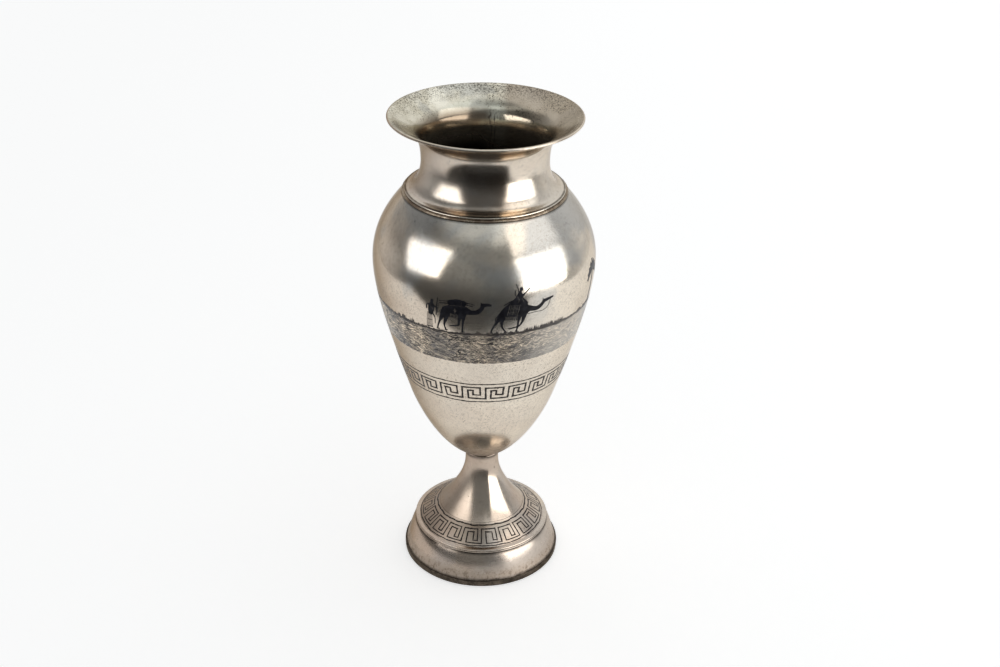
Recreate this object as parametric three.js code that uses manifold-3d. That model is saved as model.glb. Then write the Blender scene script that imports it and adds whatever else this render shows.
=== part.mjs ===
// Niello silver vase: an egg-shaped vessel of sheet silver with a drawn-in neck, on a trumpet foot, with black niello
// let into the silver. Millimetres, +Z up. The origin is the middle of the foot's underside, the front is towards -Y.
// The silver pieces are rings and shells that stand one on the other, each on the flat end of the piece below.

import * as THREE from 'three';
import { mergeVertices } from 'three/addons/utils/BufferGeometryUtils.js';
import Module from 'manifold-3d';

// Sheet and rings
const sheet = 1.3;
const widest_seat = 2.6; // a wall that ends nearly level is cut back to this width
const facets = 32;

// Foot, from the floor up. A step is how far a piece stands back from the one below it.
const foot_rim_radius = 42.1;
const foot_rim_width = 3;
const foot_rim_height = 3.2;
const foot_rim_bevel = 0.4;
const skirt_step = 0.8;
const skirt_top_radius = 35.8;
const skirt_height = 14.2;
const foot_bead_overhang = 0.4;
const foot_bead_width = 3.8;
const foot_bead_height = 2.2;
const dome_step = 2.3;
const dome_top_radius = 23.3;
const dome_height = 7.8;
const flare_height = 28.6;
const stem_radius = 8.9;
const stem_height = 4.2; // the straight length above the flare
const collar_overhang = 0.7;
const collar_height = 1.2;

// Body
const cup_radius = 38.6; // where the narrow lower body turns upright
const cup_height = 42.8;
const belly_radius = 56;
const belly_height = 71.8; // from the top of the cup to the widest place
const shoulder_radius = 40.7;
const shoulder_height = 35;

// Neck and lip
const neck_seat_overhang = 0.2;
const neck_seat_width = 4;
const neck_seat_height = 1.3;
const neck_bead_step = 1;
const neck_bead_width = 4.9;
const neck_bead_height = 1.7;
const neck_step = 2.5;
const neck_waist_radius = 31.5;
const neck_waist_height = 13.5;
const mouth_radius = 46.6; // outside of the neck, under the lip
const mouth_height = 21.5; // from the waist to the lip
const lip_overhang = 1.1;
const lip_width = 1.6;
const lip_height = 1;

// Niello
const niello_depth = 0.35;
const niello_gap = 0.25; // round the niello, and under it, where the recess is cut to its outline
const body_line_width = 0.9;
const body_key_rise = 56; // from the body's foot to the middle of the key's lowest line
const body_key_height = 7.2;
const body_key_units = 24;
const body_key_clearance = 2.4; // to the lines that border the key
const ground_rise = 79.7; // from the body's foot to the lower edge of the ground band
const ground_height = 18.9;
const foot_line_width = 0.7;
const foot_key_rise = 1.7; // from the dome's edge
const foot_key_height = 4.6;
const foot_key_units = 18;
const foot_key_clearance = 1.1;
const figure_grid = 1; // the step of the grid that the figures are drawn on

const wasm = await Module();
wasm.setup();

// Levels and radii where the pieces meet
const skirt_foot = foot_rim_height;
const foot_bead_foot = skirt_foot + skirt_height;
const dome_foot = foot_bead_foot + foot_bead_height;
const dome_top = dome_foot + dome_height;
const stem_foot = dome_top + flare_height;
const collar_foot = stem_foot + stem_height;
const body_foot = collar_foot + collar_height;
const cup_top = body_foot + cup_height;
const belly = cup_top + belly_height;
const neck_seat_foot = belly + shoulder_height;
const neck_bead_foot = neck_seat_foot + neck_seat_height;
const neck_foot = neck_bead_foot + neck_bead_height;
const neck_waist = neck_foot + neck_waist_height;
const lip_foot = neck_waist + mouth_height;
const skirt_foot_radius = foot_rim_radius - skirt_step;
const foot_bead_radius = skirt_top_radius + foot_bead_overhang;
const dome_foot_radius = foot_bead_radius - dome_step;
const neck_seat_radius = shoulder_radius + neck_seat_overhang;
const neck_bead_radius = neck_seat_radius - neck_bead_step;
const neck_foot_radius = neck_bead_radius - neck_step;

const point = (radius, height) => new THREE.Vector2(radius, height);

// A stretch of outline between two points. Each end is [point, slope, pull]. The slope is in degrees, from straight
// outwards towards straight up, and the pull is how long the curve keeps to it, as a share of the whole stretch.
function stretch([from, from_slope, from_pull], [to, to_slope, to_pull], steps) {
  const length = from.distanceTo(to);
  const along = (slope, pull) => {
    const angle = THREE.MathUtils.degToRad(slope);
    return point(Math.cos(angle), Math.sin(angle)).multiplyScalar(pull * length);
  };
  const leaving = from.clone().add(along(from_slope, from_pull));
  const arriving = to.clone().sub(along(to_slope, to_pull));
  return new THREE.CubicBezierCurve(from, leaving, arriving, to).getPoints(steps);
}

function joined(first, ...others) {
  return others.reduce((outline, next) => [...outline, ...next.slice(1)], first);
}

// Outlines of the sheet pieces, outside, from the bottom up
const skirt_outline = stretch(
  [point(skirt_foot_radius, skirt_foot), 111, 0.28],
  [point(skirt_top_radius, foot_bead_foot), 122, 0.26],
  3,
);

const stem_outline = joined(
  stretch([point(dome_foot_radius, dome_foot), 137, 0.3], [point(dome_top_radius, dome_top), 150, 0.3], 1),
  stretch([point(dome_top_radius, dome_top), 134, 0.2], [point(stem_radius, stem_foot), 90, 0.36], 5),
  [point(stem_radius, stem_foot), point(stem_radius, collar_foot)],
);

function body_curve(steps) {
  return joined(
    stretch([point(stem_radius, body_foot), 28, 0.3], [point(cup_radius, cup_top), 72.5, 0.3], steps),
    stretch([point(cup_radius, cup_top), 72.5, 0.25], [point(belly_radius, belly), 90, 0.25], steps),
    stretch([point(belly_radius, belly), 90, 0.34], [point(shoulder_radius, neck_seat_foot), 131.5, 0.41], steps),
  );
}
const body_outline = body_curve(5);

const neck_outline = joined(
  stretch([point(neck_foot_radius, neck_foot), 164, 0.26], [point(neck_waist_radius, neck_waist), 90, 0.38], 3),
  stretch([point(neck_waist_radius, neck_waist), 90, 0.66], [point(mouth_radius, lip_foot), 38.5, 0.39], 5),
);

// The point of an outline at a height, and the direction into the wall there
function at(outline, height) {
  const above = outline.findIndex((p) => p.y > height);
  const [a, b] = [outline[above - 1], outline[above]];
  const along = b.clone().sub(a);
  const place = a.clone().lerp(b, (height - a.y) / along.y);
  along.normalize();
  return { place, inward: point(-along.y, along.x) };
}

// The inside of a wall, as its outline moved in by the thickness. The two ends stay level, as flat seats.
function inside(outline, thickness) {
  return outline.map((p, i) => {
    const before = outline[Math.max(i - 1, 0)];
    const after = outline[Math.min(i + 1, outline.length - 1)];
    const along = after.clone().sub(before).normalize();
    if (before === p || after === p) return point(p.x - Math.min(thickness / along.y, widest_seat), p.y);
    return point(p.x - thickness * along.y, p.y + thickness * along.x);
  });
}

// A recess round a wall, from the lowest of its heights to the highest, and as deep as the niello at those between.
// The niello that fills it has the same corners, so that it is flush with the silver.
function recess(outline, cut_outline, heights) {
  const [low, high] = [heights[0], heights[heights.length - 1]];
  const [low_edge, high_edge] = [at(outline, low).place, at(outline, high).place];
  const floor = heights.slice(1, -1).map((height) => {
    const { place, inward } = at(outline, height);
    return place.addScaledVector(inward, niello_depth);
  });
  const below = cut_outline.filter((p) => p.y < low);
  const above = cut_outline.filter((p) => p.y > high);
  const face = outline.filter((p) => p.y > low && p.y < high);
  return {
    cut_outline: [...below, low_edge, ...floor, high_edge, ...above],
    niello: [low_edge, ...face, high_edge, ...floor.reverse()],
  };
}

// An engraved line round a wall is a V-shaped recess.
function line_recess(outline, cut_outline, height, width) {
  const rise = (width / 2) * -at(outline, height).inward.x;
  return recess(outline, cut_outline, [height - rise, height, height + rise]);
}

const body_key_low = body_foot + body_key_rise;
const body_key_high = body_key_low + body_key_height;
const body_lower_line = line_recess(
  body_outline,
  body_outline,
  body_key_low - body_key_clearance,
  body_line_width,
);
const body_upper_line = line_recess(
  body_outline,
  body_lower_line.cut_outline,
  body_key_high + body_key_clearance,
  body_line_width,
);

const ground_low = body_foot + ground_rise;
const ground_high = ground_low + ground_height;
const ground_band = recess(body_outline, body_upper_line.cut_outline, [
  ground_low,
  ground_low + niello_depth,
  ...body_outline.map((p) => p.y).filter((height) => height > ground_low + 1 && height < ground_high - 1),
  ground_high - niello_depth,
  ground_high,
]);

const foot_key_low = dome_foot + foot_key_rise;
const foot_key_high = foot_key_low + foot_key_height;
const foot_outer_line = line_recess(
  stem_outline,
  stem_outline,
  foot_key_low - foot_key_clearance,
  foot_line_width,
);
const foot_inner_line = line_recess(
  stem_outline,
  foot_outer_line.cut_outline,
  foot_key_high + foot_key_clearance,
  foot_line_width,
);

// A closed profile turned round the Z axis. A facet's edge is at the front.
function turned(profile) {
  const turn = new THREE.LatheGeometry([...profile, profile[0]], facets);
  turn.rotateX(Math.PI / 2);
  turn.deleteAttribute('normal');
  turn.deleteAttribute('uv');
  const merged = mergeVertices(turn);
  const corners = merged.index.array;
  const kept = [];
  for (let i = 0; i < corners.length; i += 3) {
    const [a, b, c] = corners.slice(i, i + 3);
    if (a !== b && b !== c && c !== a) kept.push(a, b, c);
  }
  merged.setIndex(kept);
  return merged;
}

// A wall of sheet. Its outside may be cut for niello.
function wall(outline, cut_outline = outline) {
  return turned([...cut_outline, ...inside(outline, sheet).reverse()]);
}

// A ring with a flat underside and top, and an outside that is widest at half its height
function moulding(radius, width, foot, height) {
  const set_back = height / 3;
  return turned([
    point(radius - width, foot),
    point(radius - set_back, foot),
    point(radius, foot + height / 2),
    point(radius - set_back, foot + height),
    point(radius - width, foot + height),
  ]);
}

function to_solid(geometry) {
  const bare = geometry.clone();
  bare.deleteAttribute('normal');
  bare.deleteAttribute('uv');
  const merged = mergeVertices(bare);
  return new wasm.Manifold(new wasm.Mesh({
    numProp: 3,
    vertProperties: merged.attributes.position.array,
    triVerts: new Uint32Array(merged.index.array),
  }));
}

function to_geometry(solid) {
  const mesh = solid.getMesh();
  const geometry = new THREE.BufferGeometry();
  geometry.setAttribute('position', new THREE.BufferAttribute(mesh.vertProperties, mesh.numProp));
  geometry.setIndex(new THREE.BufferAttribute(mesh.triVerts, 1));
  return geometry;
}

// The corners of one unit of a running key, as shares of its length and of the band's height. The line goes up, along
// the top, turns in on itself, turns back out, and runs along the bottom to the next unit.
function key_unit(top_end, turn_low, turn_middle, turn_high, turn_start) {
  return [
    [0, 0], [0, 1], [top_end, 1], [top_end, turn_low],
    [turn_middle, turn_low], [turn_middle, turn_high], [turn_start, turn_high], [turn_start, 0],
  ];
}

const body_key = {
  outline: body_outline,
  low: body_key_low,
  high: body_key_high,
  unit: key_unit(0.78, 0.3, 0.47, 0.74, 0.25),
  units: body_key_units,
  line_width: body_line_width,
};
const foot_key = {
  outline: stem_outline,
  low: foot_key_low,
  high: foot_key_high,
  unit: key_unit(0.79, 0.19, 0.58, 0.79, 0.24),
  units: foot_key_units,
  line_width: foot_line_width,
};

// A running key round a wall, as one closed band with square corners. It reaches from some height above the silver's
// surface to some depth below it, and is wider than its line by the margin on each side.
function running_key({ outline, low, high, unit, units, line_width }, above, below, margin) {
  const half_width = line_width / 2 + margin;
  const [low_place, high_place] = [at(outline, low).place, at(outline, high).place];
  const unit_length = (Math.PI * (low_place.x + high_place.x)) / units;
  const unit_height = low_place.distanceTo(high_place);
  const facet = (2 * Math.PI) / facets;
  const corner = (i) => {
    const [along, up] = unit[THREE.MathUtils.euclideanModulo(i, unit.length)];
    return point(Math.floor(i / unit.length) + along, up);
  };
  const left_of = (from, to) => point(-Math.sign(to.y - from.y), Math.sign(to.x - from.x));

  const positions = [];
  const triangles = [];
  const count = units * unit.length;
  for (let i = 0; i < count; i++) {
    const here = corner(i);
    const left = left_of(corner(i - 1), here).add(left_of(here, corner(i + 1))).multiplyScalar(half_width);
    for (const side of [1, -1]) {
      const angle = ((here.x + (side * left.x) / unit_length) * 2 * Math.PI) / units;
      const height = low + (high - low) * (here.y + (side * left.y) / unit_height);
      const { place, inward } = at(outline, height);
      const in_facet = THREE.MathUtils.euclideanModulo(angle, facet) - facet / 2;
      const flattening = Math.cos(facet / 2) / Math.cos(in_facet);
      for (const depth of [-above, below]) {
        const { x, y } = place.clone().addScaledVector(inward, depth);
        positions.push(x * flattening * Math.sin(angle), -x * flattening * Math.cos(angle), y);
      }
    }
    // Each corner has four points: left above, left below, right above and right below.
    const next = 4 * ((i + 1) % count);
    for (const [a, b] of [[2, 0], [0, 1], [1, 3], [3, 2]]) {
      triangles.push(4 * i + a, next + a, next + b, 4 * i + a, next + b, 4 * i + b);
    }
  }
  const geometry = new THREE.BufferGeometry();
  geometry.setAttribute('position', new THREE.Float32BufferAttribute(positions, 3));
  geometry.setIndex(triangles);
  return geometry;
}

const key_niello = (key) => running_key(key, 0, niello_depth, 0);
const key_cutter = (key) => to_solid(running_key(key, sheet, niello_depth + niello_gap, niello_gap));

// The figures are drawn flat, as strokes that taper. A stroke is a list of stops, [across, up, half width], in steps of
// the figure grid from the place on the ground band where the figure stands. All of them face to the right.

// A walking camel that stands on its fore leg, with a trunk and a neck of some length
function camel(trunk, neck) {
  return [
    [[2 - trunk, 11.6, 2.2], [-0.35 * trunk, 12.7, 3.2], [1.8, 11.8, 2.1]],
    [[0.8, 12, 1.9], [0.4 * neck, 11, 1], [0.62 * neck, 16.6, 0.9], [neck, 16.2, 0.7]],
    [[2.2 - trunk, 11.2, 1.5], [-0.6 - trunk, 0.4, 0.5]],
    [[3.6 - trunk, 10.8, 1.5], [4.6 - trunk, 0.4, 0.5]],
    [[-1.6, 11, 1.2], [-4.4, 3, 0.5]],
    [[0.4, 11, 1.3], [0.4, 0.4, 0.5]],
  ];
}
const load = [[[-7.6, 15.8, 1.8], [-3.4, 16.8, 2], [0.8, 15.6, 1.6]]];
const rider = [
  [[-5.4, 14.8, 1.8], [-1.6, 18.4, 1.6], [-1.2, 23.4, 0.9]],
  [[-2.4, 19, 0.4], [4.4, 23, 0.4]],
];
const man = [
  [[0, 0.4, 1.8], [0.4, 10.4, 1.4], [0.6, 13.8, 0.9]],
  [[0.6, 9.4, 0.6], [3, 8.8, 0.5]],
  [[2.4, 0.6, 0.4], [3.2, 15.6, 0.4]],
];

// A date palm: a leaning trunk, and fronds that rise from its top and bend down
function palm(height, lean, fronds) {
  const strokes = [[[0, 0.4, 1], [lean, height, 0.8]]];
  for (let i = 0; i < fronds; i++) {
    const side = (2 * i) / (fronds - 1) - 1;
    const rise = 1 - Math.abs(side);
    strokes.push([
      [lean, height, 0.8],
      [lean + 3.5 * side, height + 1.6 + 3.4 * rise, 0.7],
      [lean + 6.4 * side, height - 2 + 8 * rise, 0.4],
    ]);
  }
  return strokes;
}

// Each figure is [its strokes, its place round the body in degrees from the front].
const figures = {
  herdsman: [man, -27.5],
  loaded_camel: [[...camel(11.6, 12.6), ...load], -9.6],
  ridden_camel: [[...camel(13.2, 17.4), ...rider], 16.5],
  date_palm: [palm(17, 1.2, 5), 71],
  back_palm: [palm(15, -1, 5), 150],
  back_camel: [camel(12, 14), 186],
};
const tallest_figure = 27 * figure_grid;
const figure_foot = ground_high + niello_gap;

// The flat shape of a stroke, wider and longer all round by the margin
function stroke_shape(stops, margin) {
  const places = stops.map(([across, up]) => point(across, up).multiplyScalar(figure_grid));
  const last = places.length - 1;
  const left = [];
  const right = [];
  places.forEach((place, i) => {
    const along = places[Math.min(i + 1, last)].clone().sub(places[Math.max(i - 1, 0)]).normalize();
    if (i === 0) place = place.clone().addScaledVector(along, -margin);
    if (i === last) place = place.clone().addScaledVector(along, margin);
    const side = point(-along.y, along.x).multiplyScalar(stops[i][2] * figure_grid + margin);
    left.unshift(place.clone().add(side));
    right.push(place.clone().sub(side));
  });
  return new THREE.Shape([...right, ...left]);
}

// A layer of the body's wall behind the figures, from some height above the silver's surface to some depth below it
function body_layer(above, below) {
  const [low, high] = [figure_foot - 1, figure_foot + tallest_figure];
  const heights = [low, ...body_outline.map((p) => p.y).filter((height) => height > low && height < high), high];
  const moved = (depth) => heights.map((height) => {
    const { place, inward } = at(body_outline, height);
    return place.addScaledVector(inward, depth);
  });
  return to_solid(turned([...moved(-above), ...moved(below).reverse()]));
}
const niello_layer = body_layer(0, niello_depth);
const recess_layer = body_layer(sheet, niello_depth + niello_gap);

// A figure, as the part of a layer of the wall that its strokes cover
function figure([strokes, degrees], margin, layer) {
  const prisms = strokes.map((stops) => {
    const prism = new THREE.ExtrudeGeometry(stroke_shape(stops, margin), {
      depth: belly_radius,
      bevelEnabled: false,
      steps: 1,
    });
    prism.translate(0, figure_foot, belly_radius / 2);
    prism.rotateX(Math.PI / 2);
    prism.rotateZ(THREE.MathUtils.degToRad(degrees));
    return to_solid(prism);
  });
  return wasm.Manifold.union(prisms).intersect(layer);
}

// The body is closed at the bottom, and the stem has no floor.
const whole_body = to_solid(turned([
  point(0, body_foot),
  ...ground_band.cut_outline,
  ...inside(body_curve(3), sheet).slice(1).reverse(),
  point(0, body_foot + sheet),
]));
const body = Object.values(figures).reduce(
  (silver, each) => silver.subtract(figure(each, niello_gap, recess_layer)),
  whole_body.subtract(key_cutter(body_key)),
);
const stem = to_solid(wall(stem_outline, foot_inner_line.cut_outline)).subtract(key_cutter(foot_key));

const foot_rim = turned([
  point(foot_rim_radius - foot_rim_width, 0),
  point(foot_rim_radius, 0),
  point(foot_rim_radius, foot_rim_height - foot_rim_bevel),
  point(foot_rim_radius - foot_rim_bevel, foot_rim_height),
  point(foot_rim_radius - foot_rim_width, foot_rim_height),
]);
const foot_bead = moulding(foot_bead_radius, foot_bead_width, foot_bead_foot, foot_bead_height);
const collar_width = sheet + collar_overhang;
const collar = moulding(stem_radius + collar_overhang, collar_width, collar_foot, collar_height);
const neck_seat = moulding(neck_seat_radius, neck_seat_width, neck_seat_foot, neck_seat_height);
const neck_bead = moulding(neck_bead_radius, neck_bead_width, neck_bead_foot, neck_bead_height);
const lip = moulding(mouth_radius + lip_overhang, lip_width, lip_foot, lip_height);

const silver = new THREE.MeshStandardMaterial({ color: 0xb9b1a2, roughness: 0.28, metalness: 1 });
const dark_silver = new THREE.MeshStandardMaterial({ color: 0x7d7264, roughness: 0.4, metalness: 1 });
const niello = new THREE.MeshStandardMaterial({ color: 0x1b1a1e, roughness: 0.35, metalness: 0.6 });
const ground_niello = new THREE.MeshStandardMaterial({ color: 0x5c544e, roughness: 0.5, metalness: 0.7 });

const vase = new THREE.Group();
function add(name, geometry, material) {
  const mesh = new THREE.Mesh(geometry, material);
  mesh.name = name;
  vase.add(mesh);
}

add('foot_rim', foot_rim, dark_silver);
add('foot_skirt', wall(skirt_outline), silver);
add('foot_bead', foot_bead, silver);
add('foot_stem', to_geometry(stem), silver);
add('stem_collar', collar, silver);
add('body', to_geometry(body), silver);
add('neck_seat', neck_seat, dark_silver);
add('neck_bead', neck_bead, silver);
add('neck', wall(neck_outline), silver);
add('lip_wire', lip, silver);

add('foot_key_outer_line', turned(foot_outer_line.niello), niello);
add('foot_key', key_niello(foot_key), niello);
add('foot_key_inner_line', turned(foot_inner_line.niello), niello);
add('body_key_lower_line', turned(body_lower_line.niello), niello);
add('body_key', key_niello(body_key), niello);
add('body_key_upper_line', turned(body_upper_line.niello), niello);
add('ground_band', turned(ground_band.niello), ground_niello);
for (const [name, each] of Object.entries(figures)) {
  add(name, to_geometry(figure(each, 0, niello_layer)), niello);
}

export default vase;
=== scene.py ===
# Looks of the niello silver vase. Lengths are in millimetres, and turn to metres where a mesh is made.
# Angles round the vase are in degrees from the front towards the right.

import math

import bpy
import numpy as np
from mathutils import Matrix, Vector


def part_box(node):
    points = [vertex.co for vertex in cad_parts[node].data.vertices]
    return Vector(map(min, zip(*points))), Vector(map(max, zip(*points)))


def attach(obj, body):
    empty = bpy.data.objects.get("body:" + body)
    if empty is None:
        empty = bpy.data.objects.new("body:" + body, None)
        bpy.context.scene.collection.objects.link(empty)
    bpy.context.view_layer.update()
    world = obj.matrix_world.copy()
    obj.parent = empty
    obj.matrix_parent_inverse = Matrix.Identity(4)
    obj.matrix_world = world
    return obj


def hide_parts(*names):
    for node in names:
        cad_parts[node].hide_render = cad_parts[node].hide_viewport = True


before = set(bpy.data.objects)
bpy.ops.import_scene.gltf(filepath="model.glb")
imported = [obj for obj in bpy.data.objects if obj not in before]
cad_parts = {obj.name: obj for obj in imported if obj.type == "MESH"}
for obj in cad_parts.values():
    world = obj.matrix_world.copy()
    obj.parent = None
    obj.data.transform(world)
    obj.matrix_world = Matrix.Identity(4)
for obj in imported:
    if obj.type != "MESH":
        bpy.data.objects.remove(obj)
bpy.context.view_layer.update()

mm = 0.001
sheet = 1.3  # thickness of the silver
segments = 224  # faces round a turned piece
sharp_edge = 32  # degrees between two faces that meet in a visible edge
far = 1e3  # more than any distance on a figure


def extent(node):
    """The lowest level, the highest level and the largest radius of a CAD node."""
    low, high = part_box(node)
    return low.z / mm, high.z / mm, high.x / mm


rim_foot, rim_top, rim_radius = extent("foot_rim")
skirt_foot, skirt_top, skirt_radius = extent("foot_skirt")
foot_bead_foot, foot_bead_top, foot_bead_radius = extent("foot_bead")
dome_foot, stem_top, dome_radius = extent("foot_stem")
collar_foot, collar_top, collar_radius = extent("stem_collar")
body_foot, body_top, belly_radius = extent("body")
seat_foot, seat_top, seat_radius = extent("neck_seat")
neck_bead_foot, neck_bead_top, neck_bead_radius = extent("neck_bead")
neck_foot, neck_top, mouth_radius = extent("neck")
lip_foot, lip_top, lip_radius = extent("lip_wire")

# Turns of the outlines between their ends, as radius and level
skirt_top_radius = 35.8
dome_top = (23.3, 27.4)
flare_top = (8.9, 56.0)
cup = (38.6, 104.2)
belly_level = 176.0
shoulder_radius = 40.7
neck_foot_radius = 37.4
waist = (31.5, 227.5)


def stretch(start, end, steps):
    """A curve between two ends: each is radius, level, slope from outwards towards up, and share of pull."""
    (r0, z0, slope0, pull0), (r1, z1, slope1, pull1) = start, end
    length = math.hypot(r1 - r0, z1 - z0)
    a, b = math.radians(slope0), math.radians(slope1)
    p = np.array([
        (r0, z0),
        (r0 + pull0 * length * math.cos(a), z0 + pull0 * length * math.sin(a)),
        (r1 - pull1 * length * math.cos(b), z1 - pull1 * length * math.sin(b)),
        (r1, z1),
    ])
    t = np.linspace(0, 1, steps + 1)[:, None]
    return (1 - t) ** 3 * p[0] + 3 * t * (1 - t) ** 2 * p[1] + 3 * t**2 * (1 - t) * p[2] + t**3 * p[3]


def joined(*curves):
    return np.vstack([curves[0]] + [curve[1:] for curve in curves[1:]])


skirt_outline = stretch((skirt_radius, skirt_foot, 111, 0.28), (skirt_top_radius, skirt_top, 130, 0.28), 20)
stem_outline = joined(
    stretch((dome_radius, dome_foot, 137, 0.3), (*dome_top, 150, 0.3), 14),
    stretch((*dome_top, 134, 0.2), (*flare_top, 90, 0.36), 36),
    np.array([flare_top, (flare_top[0], stem_top)]),
)
body_outline = joined(
    stretch((flare_top[0], body_foot, 28, 0.3), (*cup, 72.5, 0.3), 40),
    stretch((*cup, 72.5, 0.25), (belly_radius, belly_level, 90, 0.25), 44),
    stretch((belly_radius, belly_level, 90, 0.34), (shoulder_radius, body_top, 131.5, 0.41), 32),
)
neck_outline = joined(
    stretch((neck_foot_radius, neck_foot, 164, 0.26), (*waist, 90, 0.38), 20),
    stretch((*waist, 90, 0.66), (mouth_radius, neck_top, 38.5, 0.39), 28),
)


def unevenness(angles, levels):
    """How far the hand-raised wall lies inside its true round shape, in four waves of one height."""
    wave_height = 0.022
    waves = (
        np.sin(3 * angles + levels / 13)
        + np.sin(5 * angles - levels / 9 + 1.3)
        + np.sin(7 * angles + levels / 6 + 4.1)
        + np.sin(2 * angles - levels / 17 + 2.2)
    )
    return wave_height * (waves - 4)


def place(outline, angles, levels, lift):
    """Points on a wall, lifted from its surface. Angles are in radians. All arguments may be arrays."""
    along = np.gradient(outline, axis=0)
    along /= np.linalg.norm(along, axis=1)[:, None]
    radius = np.interp(levels, outline[:, 1], outline[:, 0]) + unevenness(angles, levels)
    outwards = np.interp(levels, outline[:, 1], along[:, 1])
    upwards = -np.interp(levels, outline[:, 1], along[:, 0])
    r = radius + lift * outwards
    return np.stack([r * np.sin(angles), -r * np.cos(angles), levels + lift * upwards], axis=-1)


def linked(name, data):
    made = bpy.data.objects.new(name, data)
    bpy.context.scene.collection.objects.link(made)
    return made


def piece(name, points, faces, materials, face_materials=None):
    """A closed mesh that stands for the CAD node of its name."""
    mesh = bpy.data.meshes.new("fine_" + name)
    mesh.from_pydata((np.asarray(points) * mm).tolist(), [], faces)
    mesh.validate()
    for material in materials:
        mesh.materials.append(material)
    if face_materials is not None:
        mesh.polygons.foreach_set("material_index", face_materials)
    mesh.shade_smooth()
    mesh.set_sharp_from_angle(angle=math.radians(sharp_edge))
    made = linked("fine_" + name, mesh)
    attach(made, "root")
    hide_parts(name)
    return made


def turned(name, profile, materials, inner_from=None):
    """A closed profile turned round the axis, outside first.

    From inner_from on, its faces have the second material.
    """
    profile = np.asarray(profile, float)
    count = len(profile)
    angles = np.linspace(0, 2 * np.pi, segments, endpoint=False)
    radius = profile[:, 0] + unevenness(angles[:, None], profile[:, 1]) * (profile[:, 0] > 0)
    points = np.stack([
        radius * np.sin(angles)[:, None],
        -radius * np.cos(angles)[:, None],
        np.broadcast_to(profile[:, 1], radius.shape),
    ], axis=-1).reshape(-1, 3)
    on_axis = profile[:, 0] == 0

    def corner(i, j):
        # All the corners that lie on the axis at one level are one point.
        return j if on_axis[j] else i % segments * count + j

    faces, inner = [], []
    for j in range(count):
        k = (j + 1) % count
        if on_axis[j] and on_axis[k]:
            continue
        for i in range(segments):
            ring = [corner(i, j), corner(i + 1, j), corner(i + 1, k), corner(i, k)]
            faces.append(list(dict.fromkeys(ring)))
            inner.append(int(inner_from is not None and j >= inner_from))
    used = np.unique(np.concatenate(faces))
    order = np.zeros(len(points), int)
    order[used] = np.arange(len(used))
    faces = [[int(order[old]) for old in face] for face in faces]
    return piece(name, points[used], faces, materials, inner)


def inside(outline, steps):
    """The inside of a wall, with level ends, from the top down."""
    along = np.gradient(outline, axis=0)
    along /= np.linalg.norm(along, axis=1)[:, None]
    moved = outline + sheet * np.stack([-along[:, 1], along[:, 0]], axis=-1)
    for end in (0, -1):
        moved[end] = outline[end] - (min(sheet / along[end, 1], 2 * sheet), 0)
    return moved[np.linspace(len(moved) - 1, 0, steps).astype(int)]


def rounded(corners, radius, steps=4):
    """A closed outline with round corners."""
    corners = np.asarray(corners, float)
    made = []
    for before, here, after in zip(np.roll(corners, 1, 0), corners, np.roll(corners, -1, 0)):
        to_before, to_after = before - here, after - here
        reach = min(radius, np.linalg.norm(to_before) / 2.2, np.linalg.norm(to_after) / 2.2)
        a = here + to_before / np.linalg.norm(to_before) * reach
        b = here + to_after / np.linalg.norm(to_after) * reach
        for t in np.linspace(0, 1, steps):
            made.append((1 - t) ** 2 * a + 2 * t * (1 - t) * here + t**2 * b)
    return made


def roll(radius, width, foot, top, steps):
    """A ring with a flat back and a round front."""
    half = (top - foot) / 2
    turn = np.linspace(-np.pi / 2, np.pi / 2, steps)
    front = np.stack([radius - half + half * np.cos(turn), foot + half + half * np.sin(turn)], axis=-1)
    return [(radius - width, foot), *front, (radius - width, top)]


# Node helpers


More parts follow.
